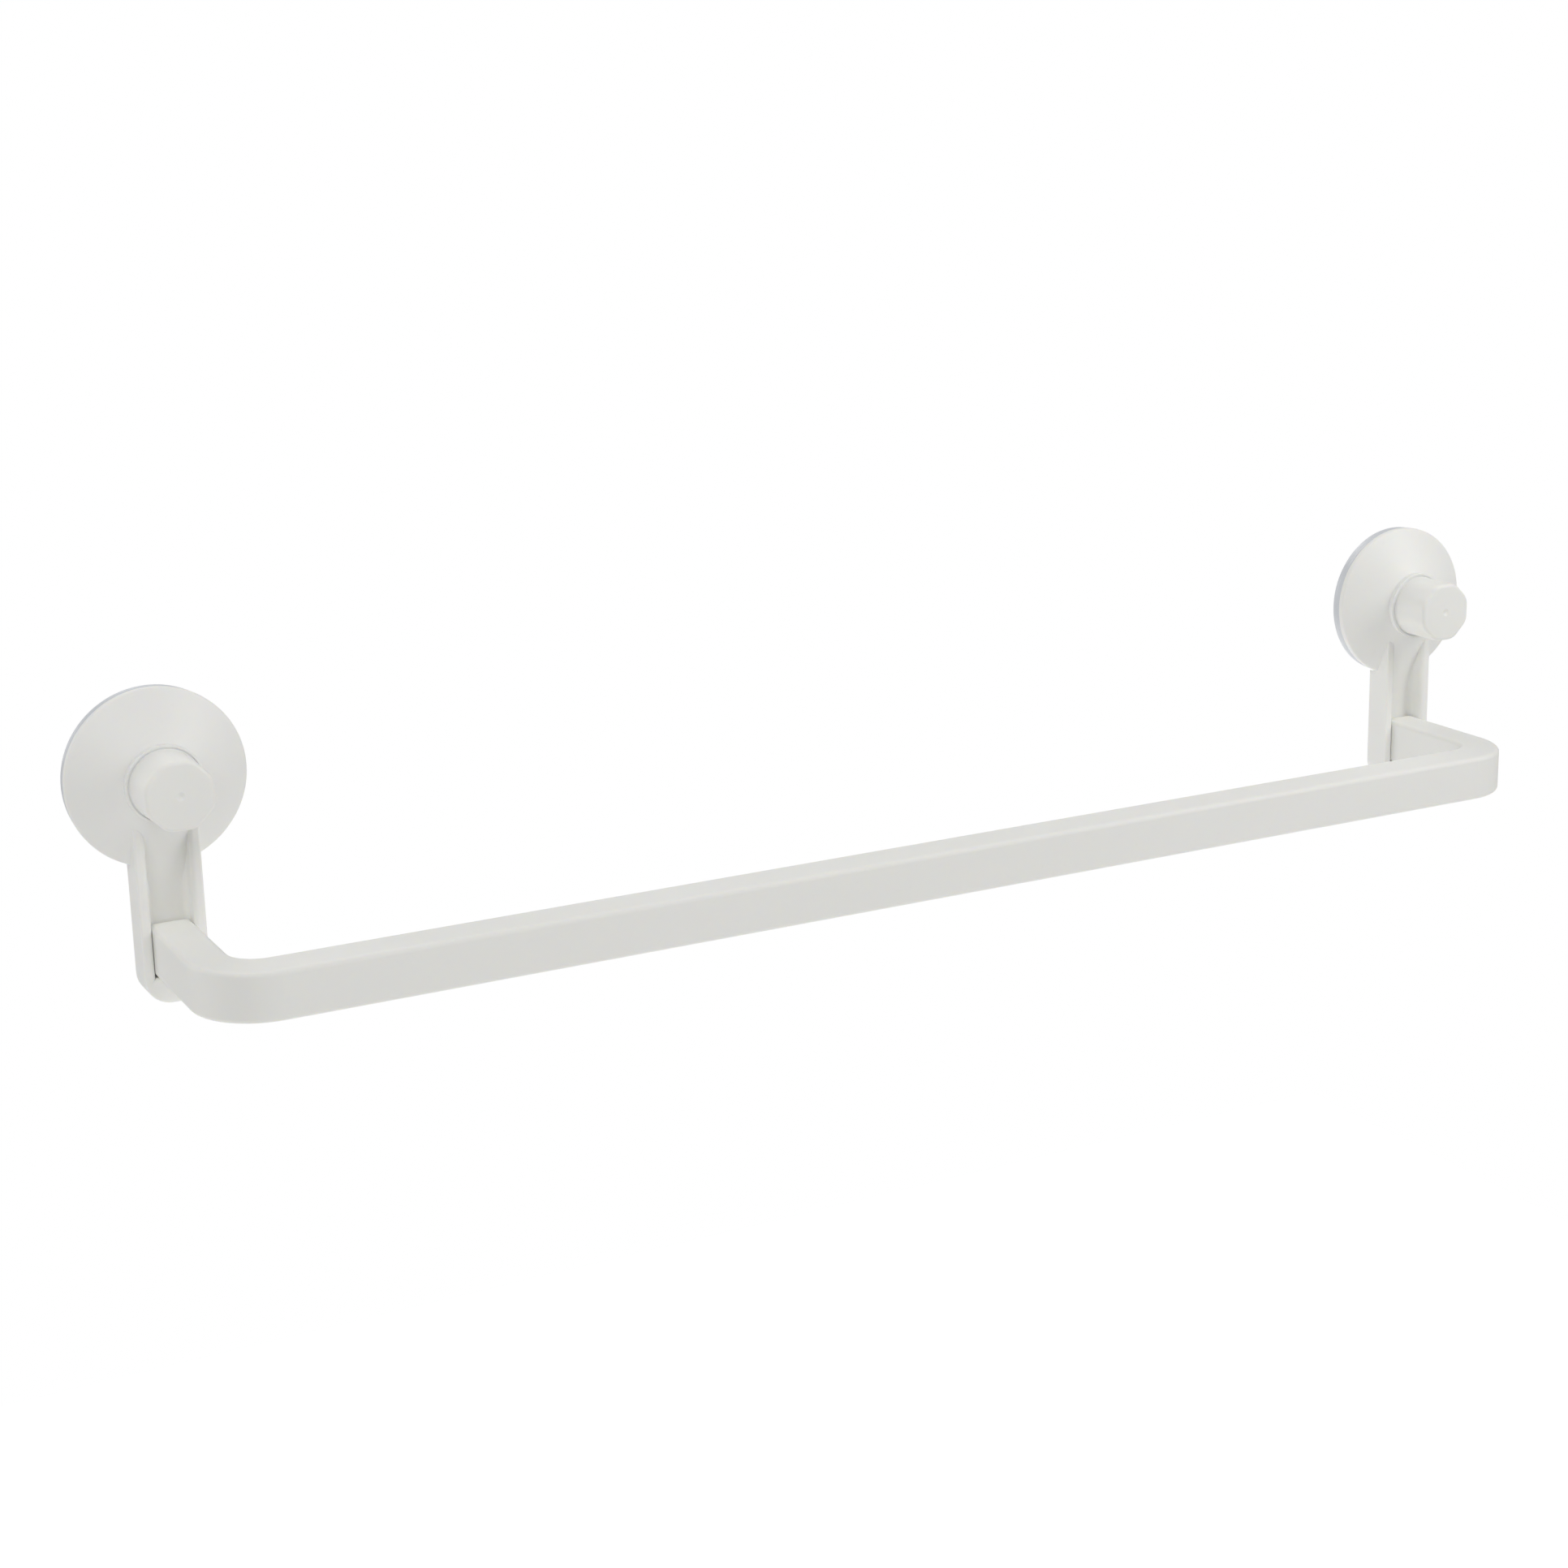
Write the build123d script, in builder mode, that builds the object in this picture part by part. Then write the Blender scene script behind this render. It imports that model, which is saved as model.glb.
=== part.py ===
from build123d import *
import math
import os

# Suction-mounted rail for a bathroom wall, held by two screw-tightened suction cups.
# Millimetres. X runs along the rail, Y points at the wall, Z is up. The origin lies on the
# wall plane, midway between the two cups. "Depth" is a distance off the wall, towards -Y.

# ---- whole object ----
HUB_SPACING = 606.4          # between the axes of the two suction cups
CLEAR = 0.15                 # side gap of a flat sliding or nested fit
THREAD_CLEAR = 0.05          # radial gap of the nut on the stud
OVERRUN = 1.0                # how far a cutting solid runs past the face that it cuts
NEAR = 0.1                   # tolerance for picking edges and corners by their place

# ---- rail: a hollow square-edged bar with two arms that return to the brackets ----
RAIL_HALF_LENGTH = 311.5
RAIL_FRONT = 88.6            # depth of the front face
RAIL_THICK = 18.8            # front to back, along the front bar
RAIL_HEIGHT = 19.9
RAIL_TOP = -57.4
RAIL_BOTTOM = RAIL_TOP - RAIL_HEIGHT
RAIL_MIDDLE = RAIL_TOP - RAIL_HEIGHT / 2
ARM_WIDTH = 16.6
OUTER_BEND = 28.0            # plan radius of the outer corners
INNER_BEND = 12.0
RAIL_EDGE = 2.0              # rounding of the long edges
RAIL_WALL = 2.8
ARM_SOLID_END = 17.0         # uncored length at the end of each arm
ARM_END_ROUND = 2.6          # clears the fillets in the bracket's groove
VENT_RADIUS = 0.9            # runs from the arm's end to its hollow, between the screws

# ---- bracket: conical guard over the cup, and a channel-shaped leg below it ----
LEG_WIDTH = 25.8
LEG_BACK = 2.0
LEG_FRONT = 15.0
LEG_BOTTOM = -88.4
LEG_TOP = -12.0
LEG_CORNER = 10.8
FLANGE_WIDTH = 4.5
GROOVE_WIDTH = LEG_WIDTH - 2 * FLANGE_WIDTH
WEB_FRONT = 7.0
WEB_BACK = 4.5
WEB_FILLET = 2.4
FLANGE_EDGE = 2.1            # rounding of the flanges' inner front edges
LEG_EDGE = 0.9
POCKET_GAP = 0.4             # under and beside the end of the rail's arm
SKIN = 2.2                   # wall left around the cored back of the leg
CORE_TOP = -38.0             # leaves the end wall of the leg behind the guard's lower edge
RAMP_LENGTH = 9.0            # of the curve that leads from the web up to the guard

GUARD_RADIUS = 35.4
GUARD_RIM_BACK = 4.4
GUARD_RIM_FRONT = 7.2
GUARD_RIM_WIDTH = 2.8
GUARD_EDGE = 0.9
CONE_SLOPE = 0.535           # depth gained for each millimetre towards the axis
CONE_WALL = 2.5              # measured along the axis
COLLAR_OUTER = 15.6
COLLAR_INNER = 14.5
COLLAR_FRONT = 20.2
COLLAR_FILLET = 3.0
COLLAR_LIP_ROUND = 0.45
HUB_FRONT = 18.0
HUB_BACK = 15.5
CUP_ROOM = 0.4               # radial room for the cup, cut into the top of the leg

# ---- screws that hold the rail in the brackets ----
SCREW_SPACING = 10.0
SCREW_SHANK = 1.75
SCREW_HOLE = 2.1
SCREW_PILOT = 1.8
SCREW_LENGTH = 13.0
SCREW_HEAD_RADIUS = 3.4
SCREW_HEAD_HEIGHT = 2.2
SCREW_HEAD_ROUND = 0.9
SCREW_POINT = 2.0
SCREW_POINT_TAPER = 1.4
CROSS_WIDTH = 0.9
CROSS_SPAN = 4.0
CROSS_DEPTH = 1.1

# ---- suction cup ----
CUP_RADIUS = 35.0
CUP_LIP = 1.5                # flat ring that meets the wall
CUP_RIM = 4.4                # thickness seen at the edge
CUP_RIM_INNER = 32.3
CUP_HOLLOW = 5.2             # depth of the concave face
CUP_SHOULDER_RADIUS = 12.2
CUP_SHOULDER = 8.3
BOSS_RADIUS = 10.4
BOSS_FRONT = 10.2
CUP_EDGE = 0.6

# ---- threaded stud moulded into the cup ----
STUD_HEAD_RADIUS = 8.0
STUD_HEAD_BACK = 6.4
STUD_HEAD_FRONT = 8.0
NECK_SIDE = 6.4              # square neck, keyed in the bracket's hub
NECK_FRONT = 17.2
STUD_RADIUS = 3.0
STUD_FRONT = 30.0
STUD_CHAMFER = 0.8

# ---- knob, its insert nut and its washer ----
WASHER_OUTER = 11.0
WASHER_INNER = 5.2
WASHER_THICK = 1.0
WASHER_GAP = 0.1
KNOB_BACK = HUB_FRONT + WASHER_THICK + WASHER_GAP
KNOB_FLANGE_FRONT = 20.1     # a thin flange fills the collar but for a hairline gap
KNOB_FLANGE_RADIUS = 14.4
KNOB_BASE_FRONT = 20.8       # the knob is round up to here, just past the collar
KNOB_BASE_RADIUS = 13.95
KNOB_FACE = 40.2
KNOB_APOTHEM = 13.4          # towards its face it turns into a softened octagon
KNOB_CORNER = 6.5
KNOB_EDGE = 1.6
KNOB_WALL = 2.4
KNOB_CAP = 2.6
KNOB_CORE_RADIUS = 8.2
KNOB_RIB = 1.6
NUT_FLATS = 10.0
NUT_THICK = 5.0
NUT_BACK = 24.3
NUT_CHAMFER = 0.4
BORE_FRONT = 36.2
BORE_RADIUS = 3.5
GATE_RADIUS = 1.8            # shallow moulding mark in the middle of the face
GATE_DEPTH = 0.5
GATE_FLOOR_RADIUS = 0.5

os.makedirs("parts", exist_ok=True)


def front_plane(x, depth):
    """A plane at a given depth that faces away from the wall, with its local Y upwards."""
    return Plane((x, -depth, 0), x_dir=(1, 0, 0), z_dir=(0, -1, 0))


def side_plane(x):
    """A plane through a hub's axis: local X is the radius, local Y is minus the depth."""
    return Plane((x, 0, 0), x_dir=(1, 0, 0), z_dir=(0, 0, 1))


def hub_axis(x):
    return Axis((x, 0, 0), (0, 1, 0))


def cone_depth(radius):
    """Depth of the guard's outer face at a radius."""
    return GUARD_RIM_FRONT + CONE_SLOPE * (GUARD_RADIUS - radius)


def save(piece, name):
    piece.part.label = name
    export_step(piece.part, f"parts/{name}.step")


def screw_places():
    """The two screw positions, one above the other, on a plane centred at z = 0."""
    return [(0, RAIL_MIDDLE + side * SCREW_SPACING / 2) for side in (-1, 1)]


# ---------------------------------------------------------------- rail
def rail_plan(inset, arm_end):
    """Plan outline of the rail, drawn on a horizontal plane, with its skin taken off by inset."""
    half = RAIL_HALF_LENGTH - inset
    front = -RAIL_FRONT + inset
    inner_half = RAIL_HALF_LENGTH - ARM_WIDTH + inset
    back_face = -RAIL_FRONT + RAIL_THICK - inset
    with BuildSketch(mode=Mode.PRIVATE) as outline:
        with BuildLine():
            Polyline(
                (-half, -arm_end), (-half, front), (half, front), (half, -arm_end),
                (inner_half, -arm_end), (inner_half, back_face),
                (-inner_half, back_face), (-inner_half, -arm_end), close=True,
            )
        make_face()
        fillet(outline.vertices().group_by(Axis.Y)[0], OUTER_BEND - inset)
        inner_corners = outline.vertices().filter_by(lambda v: abs(v.Y - back_face) < NEAR)
        fillet(inner_corners, INNER_BEND + inset)
        fillet(outline.vertices().group_by(Axis.Y)[-1], ARM_END_ROUND)
    return outline.sketch


with BuildPart() as rail:
    with BuildSketch(Plane.XY.offset(RAIL_BOTTOM)):
        add(rail_plan(0, WEB_FRONT))
    extrude(amount=RAIL_HEIGHT)
    top_and_bottom = rail.faces().filter_by(Axis.Z)
    long_edges = top_and_bottom.edges().filter_by(lambda e: e.center().Y < -WEB_FRONT - NEAR)
    fillet(long_edges, RAIL_EDGE)
    with BuildSketch(Plane.XY.offset(RAIL_BOTTOM + RAIL_WALL)):
        add(rail_plan(RAIL_WALL, WEB_FRONT + ARM_SOLID_END))
    extrude(amount=RAIL_HEIGHT - 2 * RAIL_WALL, mode=Mode.SUBTRACT)
    for hub_x in (-HUB_SPACING / 2, HUB_SPACING / 2):
        with Locations(front_plane(hub_x, WEB_FRONT)):
            with Locations(*screw_places()):
                Cylinder(
                    SCREW_PILOT, SCREW_LENGTH, align=(Align.CENTER, Align.CENTER, Align.MIN),
                    mode=Mode.SUBTRACT,
                )
            with Locations((0, RAIL_MIDDLE)):
                Cylinder(
                    VENT_RADIUS, ARM_SOLID_END + OVERRUN,
                    align=(Align.CENTER, Align.CENTER, Align.MIN), mode=Mode.SUBTRACT,
                )
save(rail, "rail")


# ---------------------------------------------------------------- brackets
def leg_outline(inset, bottom, top):
    """Front view of the leg, with its lower corners rounded."""
    with BuildSketch(mode=Mode.PRIVATE) as outline:
        with Locations((0, bottom)):
            Rectangle(LEG_WIDTH - 2 * inset, top - bottom, align=(Align.CENTER, Align.MIN))
        fillet(outline.vertices().group_by(Axis.Y)[0], LEG_CORNER - inset)
    return outline.sketch


def build_ramp(hub_x):
    """The curve, turned about the hub's axis, that leads from the leg's web up to the guard."""
    slope = math.atan(CONE_SLOPE)
    meeting = GUARD_RADIUS + (GUARD_RIM_FRONT - WEB_FRONT) / CONE_SLOPE
    foot = (meeting + RAMP_LENGTH, -WEB_FRONT)
    head = (meeting - RAMP_LENGTH * math.cos(slope), -WEB_FRONT - RAMP_LENGTH * math.sin(slope))
    with BuildPart() as ramp:
        with BuildSketch(side_plane(hub_x)):
            with BuildLine():
                TangentArc(foot, head, tangent=(-1, 0))
                Polyline(head, (head[0], -WEB_BACK), (foot[0], -WEB_BACK), foot)
            make_face()
        revolve(axis=hub_axis(hub_x))
        with BuildSketch(front_plane(hub_x, 0)):
            with Locations((0, -GUARD_RADIUS)):
                Rectangle(GROOVE_WIDTH, GUARD_RADIUS)
        extrude(amount=LEG_FRONT, mode=Mode.INTERSECT)
    return ramp


def build_bracket(hub_x):
    ramp = build_ramp(hub_x)
    pocket_bottom = RAIL_BOTTOM - POCKET_GAP
    core_bottom = LEG_BOTTOM + SKIN
    inner_edge = GUARD_RADIUS - GUARD_RIM_WIDTH
    room_radius = GUARD_RADIUS + CUP_ROOM
    hub_edge = GUARD_RADIUS - (HUB_BACK + CONE_WALL - GUARD_RIM_FRONT) / CONE_SLOPE

    with BuildPart() as bracket:
        # the leg, as a block with a rounded lower end
        with BuildSketch(front_plane(hub_x, LEG_BACK)):
            add(leg_outline(0, LEG_BOTTOM, LEG_TOP))
        extrude(amount=LEG_FRONT - LEG_BACK)
        front_rim = bracket.faces().sort_by(Axis.Y)[0].edges()
        fillet(front_rim.filter_by(lambda e: e.center().Z < LEG_TOP - NEAR), LEG_EDGE)

        # the groove down its front, open upwards, which holds the end of the rail's arm
        with BuildSketch(Plane.XY.offset(pocket_bottom)) as groove:
            with Locations((hub_x, -WEB_FRONT)):
                Rectangle(
                    GROOVE_WIDTH, LEG_FRONT - WEB_FRONT + OVERRUN, align=(Align.CENTER, Align.MAX)
                )
            fillet(groove.vertices().group_by(Axis.Y)[-1], WEB_FILLET)
        extrude(amount=-pocket_bottom, mode=Mode.SUBTRACT)
        groove_rim = bracket.faces().sort_by(Axis.Y)[0].edges().filter_by(
            lambda e: abs(e.center().X - hub_x) < GROOVE_WIDTH / 2 + NEAR
            and pocket_bottom - NEAR < e.center().Z < LEG_TOP - NEAR
        )
        fillet(groove_rim, FLANGE_EDGE)

        add(ramp.part)

        # the back of the leg is cored, deeper below the rail's arm
        core = leg_outline(SKIN, core_bottom, CORE_TOP)
        with BuildSketch(front_plane(hub_x, LEG_BACK)):
            add(core)
        extrude(amount=WEB_BACK - LEG_BACK, mode=Mode.SUBTRACT)
        with BuildSketch(front_plane(hub_x, LEG_BACK)):
            add(core)
            with Locations((0, core_bottom)):
                Rectangle(
                    LEG_WIDTH, pocket_bottom - SKIN - core_bottom,
                    align=(Align.CENTER, Align.MIN), mode=Mode.INTERSECT,
                )
        extrude(amount=LEG_FRONT - SKIN - LEG_BACK, mode=Mode.SUBTRACT)

        # room behind the guard for the cup
        with BuildSketch(side_plane(hub_x)):
            with BuildLine():
                Polyline(
                    (0, OVERRUN), (room_radius, OVERRUN), (room_radius, -GUARD_RIM_BACK),
                    (GUARD_RADIUS - OVERRUN, -GUARD_RIM_BACK - OVERRUN), (hub_edge, -HUB_BACK),
                    (0, -HUB_BACK), close=True,
                )
            make_face()
        revolve(axis=hub_axis(hub_x), mode=Mode.SUBTRACT)

        # the conical guard, its collar and the floor of its hub
        with BuildSketch(side_plane(hub_x)) as profile:
            with BuildLine():
                Polyline(
                    (0, -HUB_BACK), (hub_edge, -HUB_BACK),
                    (inner_edge, -cone_depth(inner_edge) + CONE_WALL),
                    (inner_edge, -GUARD_RIM_BACK), (GUARD_RADIUS, -GUARD_RIM_BACK),
                    (GUARD_RADIUS, -GUARD_RIM_FRONT),
                    (COLLAR_OUTER, -cone_depth(COLLAR_OUTER)), (COLLAR_OUTER, -COLLAR_FRONT),
                    (COLLAR_INNER, -COLLAR_FRONT), (COLLAR_INNER, -HUB_FRONT),
                    (0, -HUB_FRONT), close=True,
                )
            make_face()
            corners = profile.vertices()
            rim = corners.filter_by(lambda v: abs(v.X - GUARD_RADIUS) < NEAR)
            fillet(rim, GUARD_EDGE)
            foot = corners.filter_by(
                lambda v: abs(v.X - COLLAR_OUTER) < NEAR and v.Y > -COLLAR_FRONT + NEAR
            )
            fillet(foot, COLLAR_FILLET)
            lip = corners.filter_by(
                lambda v: abs(v.X - COLLAR_OUTER) < NEAR and v.Y < -COLLAR_FRONT + NEAR
            )
            fillet(lip, COLLAR_LIP_ROUND)
        revolve(axis=hub_axis(hub_x))

        # square keyway for the stud, and clearance holes for the rail's screws
        with BuildSketch(front_plane(hub_x, HUB_BACK - OVERRUN)):
            Rectangle(NECK_SIDE + 2 * CLEAR, NECK_SIDE + 2 * CLEAR)
        extrude(amount=HUB_FRONT - HUB_BACK + 2 * OVERRUN, mode=Mode.SUBTRACT)
        with BuildSketch(front_plane(hub_x, WEB_BACK - OVERRUN)):
            with Locations(*screw_places()):
                Circle(SCREW_HOLE)
        extrude(amount=WEB_FRONT - WEB_BACK + 2 * OVERRUN, mode=Mode.SUBTRACT)
    return bracket


# ---------------------------------------------------------------- screws for the rail
def build_rail_screws(hub_x):
    with BuildPart() as screws:
        with BuildSketch(front_plane(hub_x, WEB_BACK - SCREW_HEAD_HEIGHT)):
            with Locations(*screw_places()):
                Circle(SCREW_HEAD_RADIUS)
        extrude(amount=SCREW_HEAD_HEIGHT)
        fillet(screws.edges().group_by(Axis.Y)[-1], SCREW_HEAD_ROUND)
        with BuildSketch(front_plane(hub_x, WEB_BACK)):
            with Locations(*screw_places()):
                Circle(SCREW_SHANK)
        extrude(amount=SCREW_LENGTH)
        chamfer(screws.edges().group_by(Axis.Y)[0], SCREW_POINT, SCREW_POINT_TAPER)
        with BuildSketch(front_plane(hub_x, WEB_BACK - SCREW_HEAD_HEIGHT)):
            with Locations(*screw_places()):
                Rectangle(CROSS_SPAN, CROSS_WIDTH)
                Rectangle(CROSS_WIDTH, CROSS_SPAN)
        extrude(amount=CROSS_DEPTH, mode=Mode.SUBTRACT)
    return screws


# ---------------------------------------------------------------- suction cups
def build_cup(hub_x):
    dish_radius = ((CUP_RADIUS - CUP_LIP) ** 2 + CUP_HOLLOW**2) / (2 * CUP_HOLLOW)
    halfway = (CUP_RADIUS - CUP_LIP) / 2
    halfway_depth = CUP_HOLLOW - dish_radius + math.sqrt(dish_radius**2 - halfway**2)

    with BuildPart() as cup:
        with BuildSketch(side_plane(hub_x)) as profile:
            with BuildLine():
                Polyline(
                    (CUP_RADIUS - CUP_LIP, 0), (CUP_RADIUS, 0), (CUP_RADIUS, -CUP_RIM),
                    (CUP_RIM_INNER, -CUP_RIM), (CUP_SHOULDER_RADIUS, -CUP_SHOULDER),
                    (BOSS_RADIUS, -BOSS_FRONT), (0, -BOSS_FRONT), (0, -CUP_HOLLOW),
                )
                ThreePointArc(
                    (0, -CUP_HOLLOW), (halfway, -halfway_depth), (CUP_RADIUS - CUP_LIP, 0)
                )
            make_face()
            outer = profile.vertices().filter_by(lambda v: abs(v.X - CUP_RADIUS) < NEAR)
            fillet(outer, CUP_EDGE)
        revolve(axis=hub_axis(hub_x))
        # the cavity around the stud's head, and the square hole for its neck
        with BuildSketch(side_plane(hub_x)):
            with Locations((0, -(STUD_HEAD_BACK + STUD_HEAD_FRONT) / 2)):
                Rectangle(
                    STUD_HEAD_RADIUS + THREAD_CLEAR,
                    STUD_HEAD_FRONT - STUD_HEAD_BACK + 2 * THREAD_CLEAR,
                    align=(Align.MIN, Align.CENTER),
                )
        revolve(axis=hub_axis(hub_x), mode=Mode.SUBTRACT)
        with BuildSketch(front_plane(hub_x, STUD_HEAD_FRONT)):
            Rectangle(NECK_SIDE + 2 * THREAD_CLEAR, NECK_SIDE + 2 * THREAD_CLEAR)
        extrude(amount=BOSS_FRONT - STUD_HEAD_FRONT + OVERRUN, mode=Mode.SUBTRACT)
    return cup


def build_stud(hub_x):
    with BuildPart() as stud:
        with BuildSketch(front_plane(hub_x, STUD_HEAD_BACK)):
            Circle(STUD_HEAD_RADIUS)
        extrude(amount=STUD_HEAD_FRONT - STUD_HEAD_BACK)
        with BuildSketch(front_plane(hub_x, STUD_HEAD_FRONT)):
            Rectangle(NECK_SIDE, NECK_SIDE)
        extrude(amount=NECK_FRONT - STUD_HEAD_FRONT)
        with BuildSketch(front_plane(hub_x, NECK_FRONT)):
            Circle(STUD_RADIUS)
        extrude(amount=STUD_FRONT - NECK_FRONT)
        chamfer(stud.faces().sort_by(Axis.Y)[0].edges(), STUD_CHAMFER)
    return stud


# ---------------------------------------------------------------- knobs
def build_washer(hub_x):
    with BuildPart() as washer:
        with BuildSketch(front_plane(hub_x, HUB_FRONT)):
            Circle(WASHER_OUTER)
            Circle(WASHER_INNER, mode=Mode.SUBTRACT)
        extrude(amount=WASHER_THICK)
    return washer


def soft_octagon(apothem, corner):
    """The knob's outline, with flats to the top, bottom and sides and between them."""
    with BuildSketch(mode=Mode.PRIVATE) as outline:
        RegularPolygon(apothem, 8, major_radius=False, rotation=22.5)
        fillet(outline.vertices(), corner)
    return outline.sketch


def build_knob(hub_x):
    core_depth = KNOB_FACE - KNOB_CAP - KNOB_BACK

    with BuildPart() as knob:
        with BuildSketch(front_plane(hub_x, KNOB_BACK)):
            Circle(KNOB_FLANGE_RADIUS)
        extrude(amount=KNOB_FLANGE_FRONT - KNOB_BACK)
        with BuildSketch(front_plane(hub_x, KNOB_FLANGE_FRONT)):
            Circle(KNOB_BASE_RADIUS)
        extrude(amount=KNOB_BASE_FRONT - KNOB_FLANGE_FRONT)
        with BuildSketch(front_plane(hub_x, KNOB_BASE_FRONT)):
            add(soft_octagon(KNOB_BASE_RADIUS - NEAR, KNOB_BASE_RADIUS - 2 * NEAR))
        with BuildSketch(front_plane(hub_x, KNOB_FACE)):
            add(soft_octagon(KNOB_APOTHEM, KNOB_CORNER))
        loft()
        fillet(knob.faces().sort_by(Axis.Y)[0].edges(), KNOB_EDGE)

        # cored from the back, with four ribs between the skin and the middle
        with BuildSketch(front_plane(hub_x, KNOB_BACK)):
            add(soft_octagon(KNOB_APOTHEM - KNOB_WALL, KNOB_CORNER - KNOB_WALL))
            Circle(KNOB_CORE_RADIUS, mode=Mode.SUBTRACT)
            Rectangle(2 * KNOB_APOTHEM, KNOB_RIB, mode=Mode.SUBTRACT)
            Rectangle(KNOB_RIB, 2 * KNOB_APOTHEM, mode=Mode.SUBTRACT)
        extrude(amount=core_depth, mode=Mode.SUBTRACT)

        # hexagonal pocket for the nut, and a blind bore for the end of the stud
        with BuildSketch(front_plane(hub_x, KNOB_BACK)):
            RegularPolygon(NUT_FLATS / 2 + THREAD_CLEAR, 6, major_radius=False)
        extrude(amount=NUT_BACK + NUT_THICK - KNOB_BACK, mode=Mode.SUBTRACT)
        with BuildSketch(front_plane(hub_x, NUT_BACK + NUT_THICK)):
            Circle(BORE_RADIUS)
        extrude(amount=BORE_FRONT - NUT_BACK - NUT_THICK, mode=Mode.SUBTRACT)

        # moulding mark in the middle of the face
        with BuildSketch(side_plane(hub_x)):
            with BuildLine():
                Polyline(
                    (0, -KNOB_FACE - OVERRUN), (GATE_RADIUS, -KNOB_FACE - OVERRUN),
                    (GATE_RADIUS, -KNOB_FACE), (GATE_FLOOR_RADIUS, -KNOB_FACE + GATE_DEPTH),
                    (0, -KNOB_FACE + GATE_DEPTH), close=True,
                )
            make_face()
        revolve(axis=hub_axis(hub_x), mode=Mode.SUBTRACT)
    return knob


def build_knob_nut(hub_x):
    with BuildPart() as nut:
        with BuildSketch(front_plane(hub_x, NUT_BACK)):
            RegularPolygon(NUT_FLATS / 2, 6, major_radius=False)
        extrude(amount=NUT_THICK)
        chamfer(nut.edges().filter_by(Axis.Y), NUT_CHAMFER)
        with BuildSketch(front_plane(hub_x, NUT_BACK)):
            Circle(STUD_RADIUS + THREAD_CLEAR)
        extrude(amount=NUT_THICK, mode=Mode.SUBTRACT)
    return nut


for side, x_of_hub in (("left", -HUB_SPACING / 2), ("right", HUB_SPACING / 2)):
    save(build_bracket(x_of_hub), f"{side}_bracket")
    save(build_rail_screws(x_of_hub), f"{side}_rail_screws")
    save(build_cup(x_of_hub), f"{side}_suction_cup")
    save(build_stud(x_of_hub), f"{side}_cup_stud")
    save(build_washer(x_of_hub), f"{side}_knob_washer")
    save(build_knob(x_of_hub), f"{side}_knob")
    save(build_knob_nut(x_of_hub), f"{side}_knob_nut")
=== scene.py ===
import math

import bmesh
import bpy
from mathutils import Euler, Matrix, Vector


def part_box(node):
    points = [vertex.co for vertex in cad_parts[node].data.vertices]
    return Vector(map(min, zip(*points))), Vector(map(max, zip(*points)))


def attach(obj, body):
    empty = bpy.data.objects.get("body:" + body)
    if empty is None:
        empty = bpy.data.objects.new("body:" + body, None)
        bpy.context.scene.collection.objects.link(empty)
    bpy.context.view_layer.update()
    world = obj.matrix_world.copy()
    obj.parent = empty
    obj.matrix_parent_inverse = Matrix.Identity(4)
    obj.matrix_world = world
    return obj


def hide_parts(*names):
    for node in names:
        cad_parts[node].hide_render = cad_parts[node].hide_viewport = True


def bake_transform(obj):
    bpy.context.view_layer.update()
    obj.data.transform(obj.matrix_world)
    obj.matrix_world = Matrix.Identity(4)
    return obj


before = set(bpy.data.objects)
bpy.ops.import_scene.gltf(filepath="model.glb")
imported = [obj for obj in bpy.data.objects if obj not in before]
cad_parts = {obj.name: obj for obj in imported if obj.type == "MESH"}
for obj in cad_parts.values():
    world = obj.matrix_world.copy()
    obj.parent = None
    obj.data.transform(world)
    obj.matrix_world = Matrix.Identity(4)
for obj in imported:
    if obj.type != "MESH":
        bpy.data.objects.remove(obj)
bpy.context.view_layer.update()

# White suction-mounted rail on a plain pale background. Metres; X along the rail, +Y into the
# wall, Z up, the origin on the wall plane midway between the two suction cups.

SIDES = ("left", "right")
MM = 0.001
scene = bpy.context.scene

# ------------------------------------------------------------------ camera
CAMERA_PLACE = (-0.5653, -1.0369, 0.2736)
CAMERA_TURN = (75.415, 1.067, -28.467)      # degrees
CAMERA_LENS = 64.04
CAMERA_SHIFT = (-0.0255, -0.0209)


def make_camera():
    data = bpy.data.cameras.new("camera")
    data.sensor_width = 36
    data.lens = CAMERA_LENS
    data.shift_x, data.shift_y = CAMERA_SHIFT
    data.clip_start = 0.02
    data.clip_end = 60
    camera = bpy.data.objects.new("camera", data)
    camera.location = CAMERA_PLACE
    camera.rotation_euler = Euler([math.radians(a) for a in CAMERA_TURN], "XYZ")
    scene.collection.objects.link(camera)
    scene.camera = camera


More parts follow.
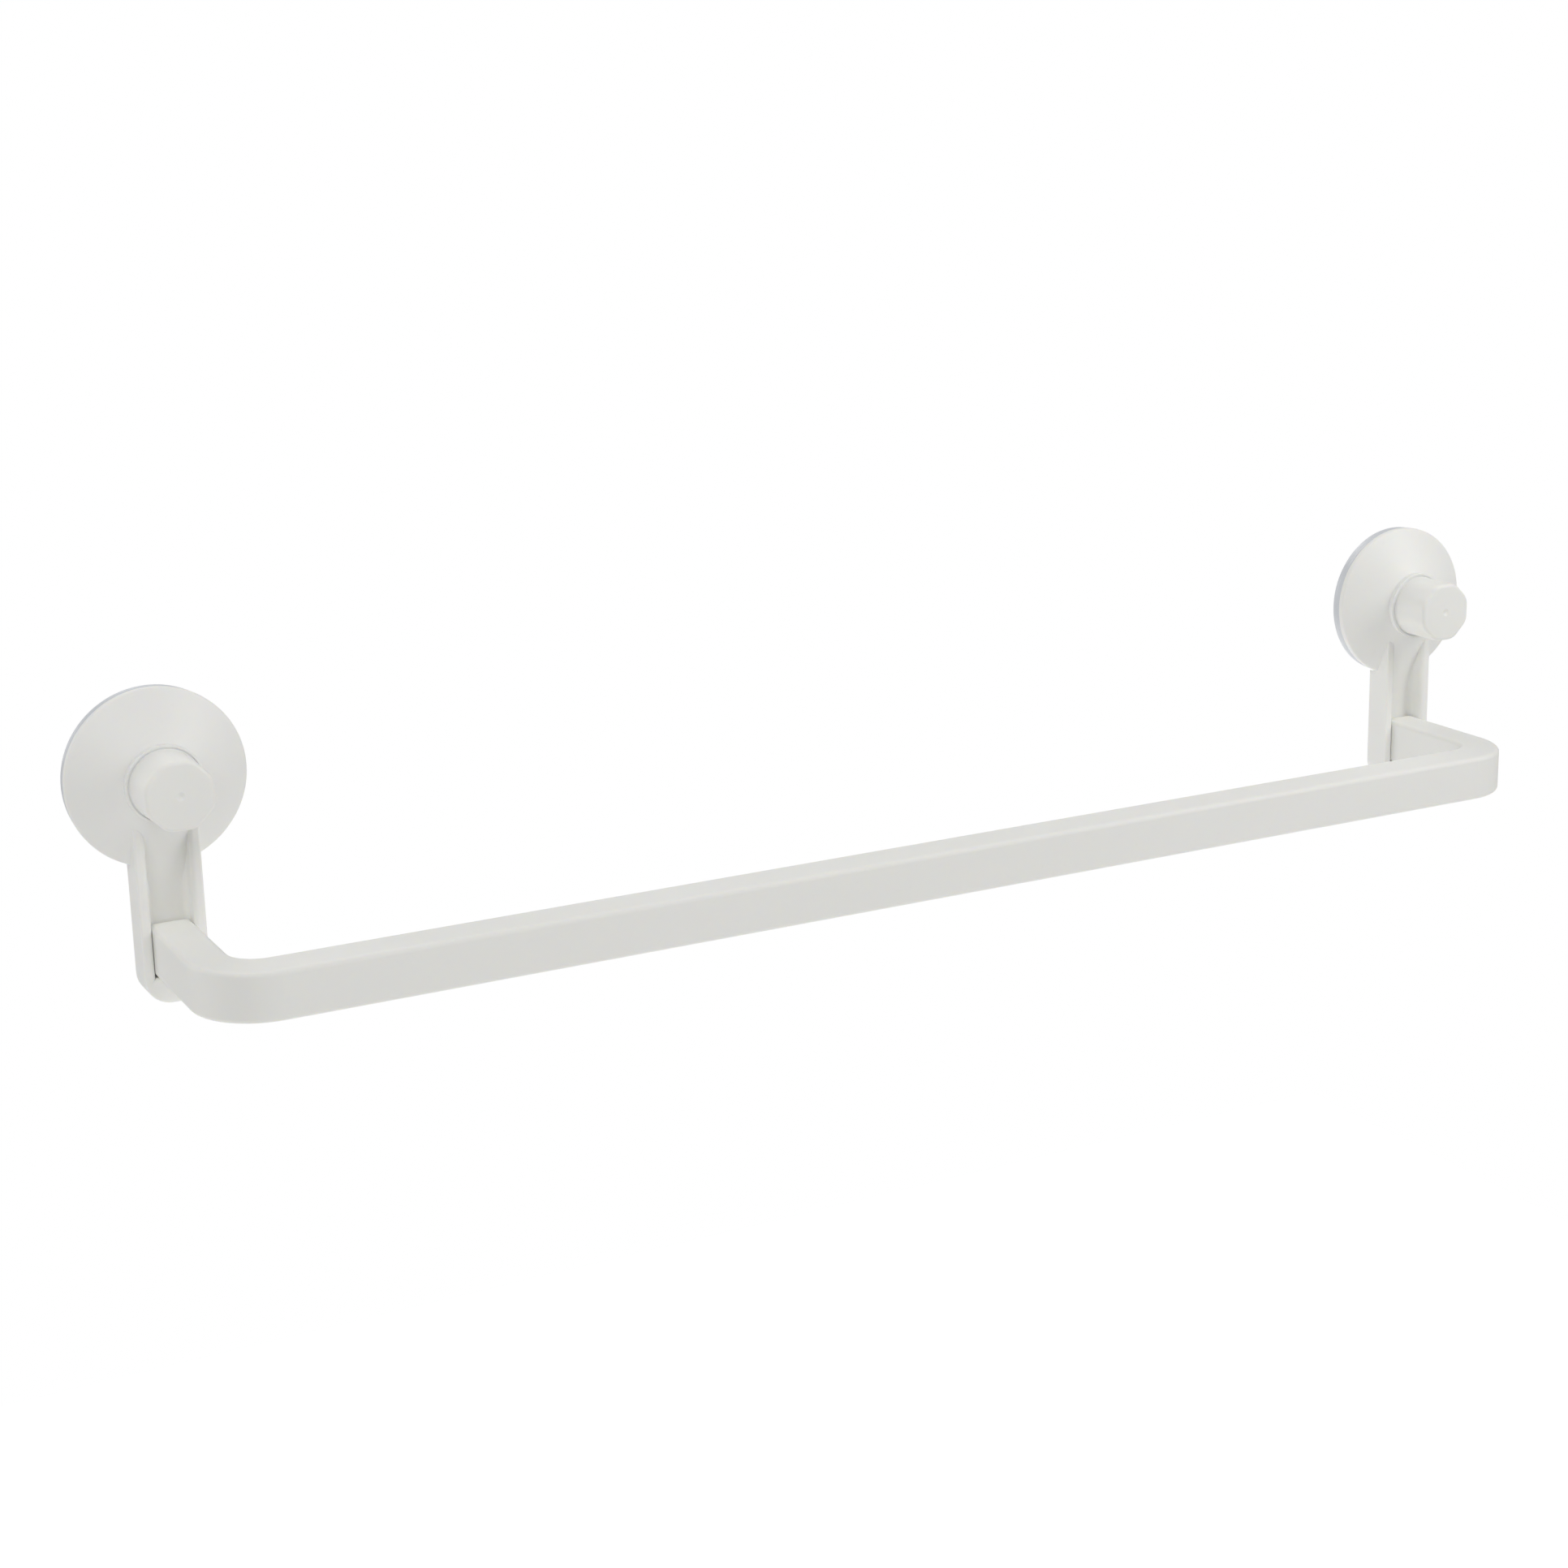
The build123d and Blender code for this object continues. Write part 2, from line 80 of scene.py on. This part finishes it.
# ------------------------------------------------------------------ node helpers
class Nodes:
    """A short way to write a material's node tree."""

    def __init__(self, name):
        self.material = bpy.data.materials.new(name)
        self.material.use_nodes = True
        self.tree = self.material.node_tree
        self.shader = self.tree.nodes["Principled BSDF"]

    def add(self, kind, inputs=None, **settings):
        node = self.tree.nodes.new(kind)
        for key, value in settings.items():
            setattr(node, key, value)
        for key, value in (inputs or {}).items():
            self.put(node.inputs[key], value)
        return node

    def put(self, socket, value):
        if isinstance(value, bpy.types.NodeSocket):
            self.tree.links.new(value, socket)
        else:
            socket.default_value = value

    def set(self, **values):
        for key, value in values.items():
            self.put(self.shader.inputs[key.replace("_", " ")], value)

    def place(self):
        return self.add("ShaderNodeTexCoord").outputs["Object"]

    def noise(self, scale, detail=3.0, roughness=0.5, stretch=(1, 1, 1)):
        mapped = self.add("ShaderNodeMapping", {"Vector": self.place(), "Scale": stretch})
        inputs = {
            "Vector": mapped.outputs["Vector"], "Scale": scale, "Detail": detail, "Roughness": roughness,
        }
        return self.add("ShaderNodeTexNoise", inputs).outputs["Fac"]

    def rings(self, centre, spacing):
        """Fine concentric rings about an axis along Y."""
        inputs = {
            "Vector": self.place(), "Location": (-centre.x, 0, -centre.z), "Scale": (1, 0, 1),
        }
        moved = self.add("ShaderNodeMapping", inputs)
        length = self.add("ShaderNodeVectorMath", {0: moved.outputs["Vector"]}, operation="LENGTH")
        turns = self.math("MULTIPLY", length.outputs["Value"], math.tau / spacing)
        return self.math("SINE", turns)

    def math(self, operation, first, second=0.0):
        node = self.add("ShaderNodeMath", {0: first, 1: second}, operation=operation)
        return node.outputs["Value"]

    def spread(self, value, low, high, start=0.3, end=0.7):
        """Maps a value from start..end to low..high, and holds it at the ends."""
        node = self.add(
            "ShaderNodeMapRange",
            {"Value": value, "From Min": start, "From Max": end, "To Min": low, "To Max": high},
        )
        return node.outputs["Result"]

    def mix(self, factor, first, second):
        node = self.add("ShaderNodeMix", data_type="RGBA")
        self.put(node.inputs["Factor"], factor)
        self.put(node.inputs["A"], first)
        self.put(node.inputs["B"], second)
        return node.outputs["Result"]

    def bump(self, height, strength, distance, below=None):
        inputs = {"Height": height, "Strength": strength, "Distance": distance}
        if below is not None:
            inputs["Normal"] = below
        return self.add("ShaderNodeBump", inputs).outputs["Normal"]


def tinted(colour, red, green, blue):
    """A colour with each channel scaled, as the four values that a socket takes."""
    return (colour[0] * red, colour[1] * green, colour[2] * blue, 1)


# ------------------------------------------------------------------ materials
def moulded_plastic(name, colour, roughness, swell):
    """Satin white plastic: faint flow marks, a fine moulded grain and slow surface waves.

    The swell is the strength of the waves.
    """
    nodes = Nodes(name)
    cloud = nodes.spread(nodes.noise(9, detail=4, stretch=(0.35, 1, 1)), 0.0, 1.0)
    flecks = nodes.spread(nodes.noise(420, detail=2), 0.0, 1.0, 0.66, 0.74)
    flowed = nodes.mix(cloud, tinted(colour, 1, 1, 1), tinted(colour, 0.978, 0.982, 0.972))
    faint = nodes.math("MULTIPLY", flecks, 0.25)
    nodes.set(
        Base_Color=nodes.mix(faint, flowed, tinted(colour, 0.95, 0.945, 0.92)),
        Roughness=nodes.spread(nodes.noise(95, detail=5), roughness - 0.05, roughness + 0.05),
        IOR=1.49,
        Subsurface_Weight=0.45,
        Subsurface_Scale=0.0011,
    )
    nodes.shader.inputs["Subsurface Radius"].default_value = (1.0, 0.85, 0.55)
    waves = nodes.bump(nodes.noise(26, detail=1, stretch=(0.4, 1, 1)), swell, 0.0012)
    nodes.set(Normal=nodes.bump(nodes.noise(2400, detail=2), 0.06, 0.00006, waves))
    return nodes.material


def soft_pvc(name, colour, centre):
    """Soft PVC, pale and slightly bluish, with the fine turned rings of its mould."""
    nodes = Nodes(name)
    cloud = nodes.spread(nodes.noise(45, detail=3), 0.0, 1.0)
    nodes.set(
        Base_Color=nodes.mix(cloud, tinted(colour, 1, 1, 1), tinted(colour, 0.94, 0.96, 0.97)),
        Roughness=nodes.spread(nodes.noise(130, detail=4), 0.30, 0.44),
        IOR=1.53,
        Transmission_Weight=0.06,
    )
    turned = nodes.bump(nodes.rings(centre, 0.0011), 0.12, 0.00008)
    nodes.set(Normal=nodes.bump(nodes.noise(60, detail=2), 0.10, 0.0006, turned))
    return nodes.material


def machined_metal(name, colour, roughness, centre):
    """Metal with fine turning marks about its axis, and a little tarnish."""
    nodes = Nodes(name)
    tarnish = nodes.spread(nodes.noise(160, detail=5), 0.0, 0.6, 0.45, 0.75)
    nodes.set(
        Base_Color=nodes.mix(tarnish, tinted(colour, 1, 1, 1), tinted(colour, 0.72, 0.69, 0.62)),
        Metallic=1.0,
        Roughness=nodes.spread(nodes.noise(700, detail=3), roughness - 0.07, roughness + 0.10),
        Normal=nodes.bump(nodes.rings(centre, 0.00035), 0.2, 0.00004),
    )
    return nodes.material


def nylon(name, colour):
    """Natural nylon, slightly mottled."""
    nodes = Nodes(name)
    cloud = nodes.spread(nodes.noise(210, detail=4), 0.0, 1.0)
    nodes.set(
        Base_Color=nodes.mix(cloud, tinted(colour, 1, 1, 1), tinted(colour, 0.93, 0.93, 0.90)),
        Roughness=nodes.spread(nodes.noise(500, detail=3), 0.38, 0.52),
        Subsurface_Weight=0.5,
        Subsurface_Scale=0.001,
        Normal=nodes.bump(nodes.noise(1500, detail=2), 0.15, 0.00004),
    )
    return nodes.material


def dress(node, material):
    """Gives a CAD node a material in place of the one it was packed with."""
    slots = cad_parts[node].data.materials
    slots.clear()
    slots.append(material)


# ------------------------------------------------------------------ suction cups
CUP_STEPS = 160             # faces around the axis

# The sizes below are in millimetres. A depth is a distance off the wall.
RIM = 4.4                   # thickness at the edge
RIM_PLAY = 0.05             # keeps the edge inside the measured radius
RIM_ROUND = 0.6
MOULD_LINE = 2.3            # depth at which the two halves of the mould met
MOULD_LINE_HALF = 0.3
MOULD_LINE_CUT = 0.12
LIP = 1.5                   # ring that meets the wall
LIP_ROUND = 0.4
RIBS = 3                    # small sealing ribs inside the lip
RIB_SPACING = 0.75
RIB_HALF = 0.3
RIB_HEIGHT = 0.14
HOLLOW = 5.2
PIP_FOOT = 2.0              # moulding pip in the middle of the hollow face
PIP_SIDE = 1.7
PIP_TOP = 1.3
SLOPE_INSET = 2.7           # from the edge to where the outer face begins to rise
SLOPE_TOP_RADIUS = 12.2
SLOPE_RISE = 3.9
SLOPE_SAG = 0.7
BOSS_FOOT_RADIUS = 13.2
BOSS_RADIUS = 10.4
BOSS_FRONT = 10.2
BOSS_ROUND = 1.0
NECK_HOLE = 3.4
NECK_HOLE_BOTTOM = 8.1
NECK_HOLE_ROUND = 0.4
PARTING = 30.6              # outside this radius the cup stays on the wall


def dish_depth(radius, rim_radius):
    """Depth of the cup's hollow face: a shallow sphere that runs out at the lip."""
    edge = rim_radius - LIP
    sphere = (edge**2 + HOLLOW**2) / (2 * HOLLOW)
    return HOLLOW - sphere + math.sqrt(sphere**2 - radius**2)


def back_depth(radius, rim_radius):
    """Depth of the cup's outer face between its rim and the foot of its boss."""
    start = rim_radius - SLOPE_INSET
    share = (start - radius) / (start - SLOPE_TOP_RADIUS)
    return RIM + SLOPE_RISE * share - SLOPE_SAG * math.sin(math.pi * share)


def arc(centre, radius, start, end, count=6):
    """Points (radius, depth) on an arc; angles in degrees, ends included."""
    angles = [math.radians(start + (end - start) * i / count) for i in range(count + 1)]
    return [(centre[0] + radius * math.cos(a), centre[1] + radius * math.sin(a)) for a in angles]


def between(start, end, count):
    """Values from start to end, both ends included."""
    return [start + (end - start) * i / count for i in range(count + 1)]


def skirt_profile(rim_radius):
    """The cup's edge: outer face, rim, sealing ribs, start of the hollow, and the closing wall."""
    outer = rim_radius - RIM_PLAY
    edge = rim_radius - LIP
    points = [(r, back_depth(r, rim_radius)) for r in between(PARTING, rim_radius - SLOPE_INSET, 3)]
    points += arc((outer - RIM_ROUND, RIM - RIM_ROUND), RIM_ROUND, 90, 0)
    points += [
        (outer, MOULD_LINE + MOULD_LINE_HALF),
        (outer - MOULD_LINE_CUT, MOULD_LINE),
        (outer, MOULD_LINE - MOULD_LINE_HALF),
    ]
    points += arc((outer - LIP_ROUND, LIP_ROUND), LIP_ROUND, 0, -90)
    for rib in range(RIBS):
        crown = edge - (rib + 1) * RIB_SPACING
        points += [
            (crown + RIB_HALF, dish_depth(crown + RIB_HALF, rim_radius)),
            (crown, dish_depth(crown, rim_radius) - RIB_HEIGHT),
            (crown - RIB_HALF, dish_depth(crown - RIB_HALF, rim_radius)),
        ]
    points += [(PARTING, dish_depth(PARTING, rim_radius)), (PARTING, back_depth(PARTING, rim_radius))]
    return points


def dome_profile(rim_radius):
    """The hollow face inside the skirt, with the pip in its middle."""
    points = [(r, dish_depth(r, rim_radius)) for r in between(PARTING, PIP_FOOT, 18)]
    points += [(PIP_SIDE, HOLLOW - 0.02), (PIP_TOP, HOLLOW + 0.25), (0.0, HOLLOW + 0.30)]
    return points


def boss_profile(rim_radius):
    """The outer face inside the skirt, with the boss that the stud's neck comes out of."""
    points = [(NECK_HOLE, NECK_HOLE_BOTTOM)]
    points += arc((NECK_HOLE + NECK_HOLE_ROUND, BOSS_FRONT - NECK_HOLE_ROUND), NECK_HOLE_ROUND, 180, 90)
    points += arc((BOSS_RADIUS - BOSS_ROUND, BOSS_FRONT - BOSS_ROUND), BOSS_ROUND, 90, 15)
    points += arc((BOSS_RADIUS + 1.5, 9.0), 1.4, 195, 262, 5)
    points += [(r, back_depth(r, rim_radius)) for r in between(BOSS_FOOT_RADIUS, PARTING, 14)]
    return points


def lathe(name, middle, profile, material):
    """Turns a profile of (radius, depth) points, in millimetres, about an axis along Y."""
    form = bmesh.new()
    rows = []
    for radius, depth in profile:
        row = []
        for i in range(CUP_STEPS if radius > 0 else 1):
            angle = math.tau * i / CUP_STEPS
            row.append(form.verts.new((
                middle.x + radius * MM * math.cos(angle),
                middle.y - depth * MM,
                middle.z + radius * MM * math.sin(angle),
            )))
        rows.append(row)
    for first, second in zip(rows, rows[1:]):
        for i in range(CUP_STEPS):
            j = i + 1
            corners = [first[i % len(first)], first[j % len(first)],
                       second[j % len(second)], second[i % len(second)]]
            corners = list(dict.fromkeys(corners))
            form.faces.new(corners).smooth = True
    mesh = bpy.data.meshes.new(name)
    form.to_mesh(mesh)
    form.free()
    mesh.materials.append(material)
    piece = bpy.data.objects.new(name, mesh)
    scene.collection.objects.link(piece)
    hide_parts(name.rsplit("_", 1)[0])
    return piece


def make_cup(side, middle, rim_radius, material):
    """The skirt holds to the wall and is attached to the frame. The two faces inside it are turned as
    pieces of their own.

    Each face is listed with its own range of depths, which nothing here reads.
    """
    skirt = lathe(f"{side}_suction_cup_skirt", middle, skirt_profile(rim_radius), material)
    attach(skirt, "frame")
    for part, profile, first, last in (
        ("dome", dome_profile(rim_radius), dish_depth(PARTING, rim_radius), HOLLOW - 0.1),
        ("boss", boss_profile(rim_radius), back_depth(PARTING, rim_radius), 8.0),
    ):
        piece = lathe(f"{side}_suction_cup_{part}", middle, profile, material)
        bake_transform(piece)


# ------------------------------------------------------------------ stage and light
AMBIENT = 0.372             # strength of the white surroundings as a light
FLOOR_HALF = 1.3
FLOOR_LEVEL = -0.9
FLOOR_GLOW = 0.56


def make_stage():
    """A white studio and a pale floor, both plain.

    The surroundings are full white to the camera, and weaker as a light.
    """
    world = bpy.data.worlds.new("studio")
    scene.world = world
    world.use_nodes = True
    tree = world.node_tree
    background = tree.nodes["Background"]
    background.inputs["Color"].default_value = (1, 1, 1, 1)
    seen = tree.nodes.new("ShaderNodeLightPath").outputs["Is Camera Ray"]
    strength = tree.nodes.new("ShaderNodeMapRange")
    strength.inputs["To Min"].default_value = AMBIENT
    strength.inputs["To Max"].default_value = 1.0
    tree.links.new(seen, strength.inputs["Value"])
    tree.links.new(strength.outputs["Result"], background.inputs["Strength"])

    mesh = bpy.data.meshes.new("floor")
    signs = ((-1, -1), (1, -1), (1, 1), (-1, 1))
    corners = [(x * FLOOR_HALF, y * FLOOR_HALF, FLOOR_LEVEL) for x, y in signs]
    mesh.from_pydata(corners, [], [(0, 1, 2, 3)])
    floor = bpy.data.objects.new("floor", mesh)
    scene.collection.objects.link(floor)
    nodes = Nodes("floor_white")
    nodes.set(Base_Color=(0.9, 0.9, 0.9, 1), Roughness=0.9)
    nodes.shader.inputs["Emission Color"].default_value = (1, 1, 1, 1)
    nodes.shader.inputs["Emission Strength"].default_value = FLOOR_GLOW
    mesh.materials.append(nodes.material)


def area_light(name, place, size, power):
    """A soft round light that points at the middle of the object."""
    data = bpy.data.lights.new(name, "AREA")
    data.shape = "DISK"
    data.size = size
    data.energy = power
    light = bpy.data.objects.new(name, data)
    light.location = place
    light.rotation_euler = (-Vector(place)).to_track_quat("-Z", "Y").to_euler()
    scene.collection.objects.link(light)


make_camera()
make_stage()
for name, place, size, power in (
    ("high_left", (-1.6, -1.6, 1.8), 1.6, 5.0),
    ("near_left", (-1.0, -0.7, 0.9), 0.7, 4.5),
    ("near_right", (0.9, -0.9, 0.7), 0.7, 5.0),
    ("above_right", (0.7, -0.5, 1.0), 0.6, 2.4),
    ("behind_left", (-1.6, 1.1, 0.5), 1.2, 6.1),
    ("behind_above", (0, 1.5, 1.5), 1.4, 6.5),
):
    area_light(name, place, size, power)
scene.view_settings.view_transform = "Standard"

rail_plastic = moulded_plastic("rail_white", (0.866, 0.863, 0.834), 0.52, 0.10)
bracket_plastic = moulded_plastic("bracket_white", (0.896, 0.892, 0.868), 0.48, 0.05)
knob_plastic = moulded_plastic("knob_white", (0.896, 0.892, 0.862), 0.52, 0.06)
washer_nylon = nylon("washer_natural", (0.78, 0.77, 0.72))

dress("rail", rail_plastic)
for side in SIDES:
    low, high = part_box(f"{side}_suction_cup")
    centre = (low + high) / 2
    centre.y = high.y
    pvc = soft_pvc(f"{side}_pvc", (0.70, 0.715, 0.745), centre)
    steel = machined_metal(f"{side}_steel", (0.64, 0.64, 0.63), 0.30, centre)
    brass = machined_metal(f"{side}_brass", (0.75, 0.58, 0.28), 0.34, centre)
    dress(f"{side}_bracket", bracket_plastic)
    dress(f"{side}_knob", knob_plastic)
    dress(f"{side}_knob_washer", washer_nylon)
    make_cup(side, centre, (high.x - low.x) / 2 / MM, pvc)
    dress(f"{side}_cup_stud", steel)
    dress(f"{side}_rail_screws", steel)
    dress(f"{side}_knob_nut", brass)
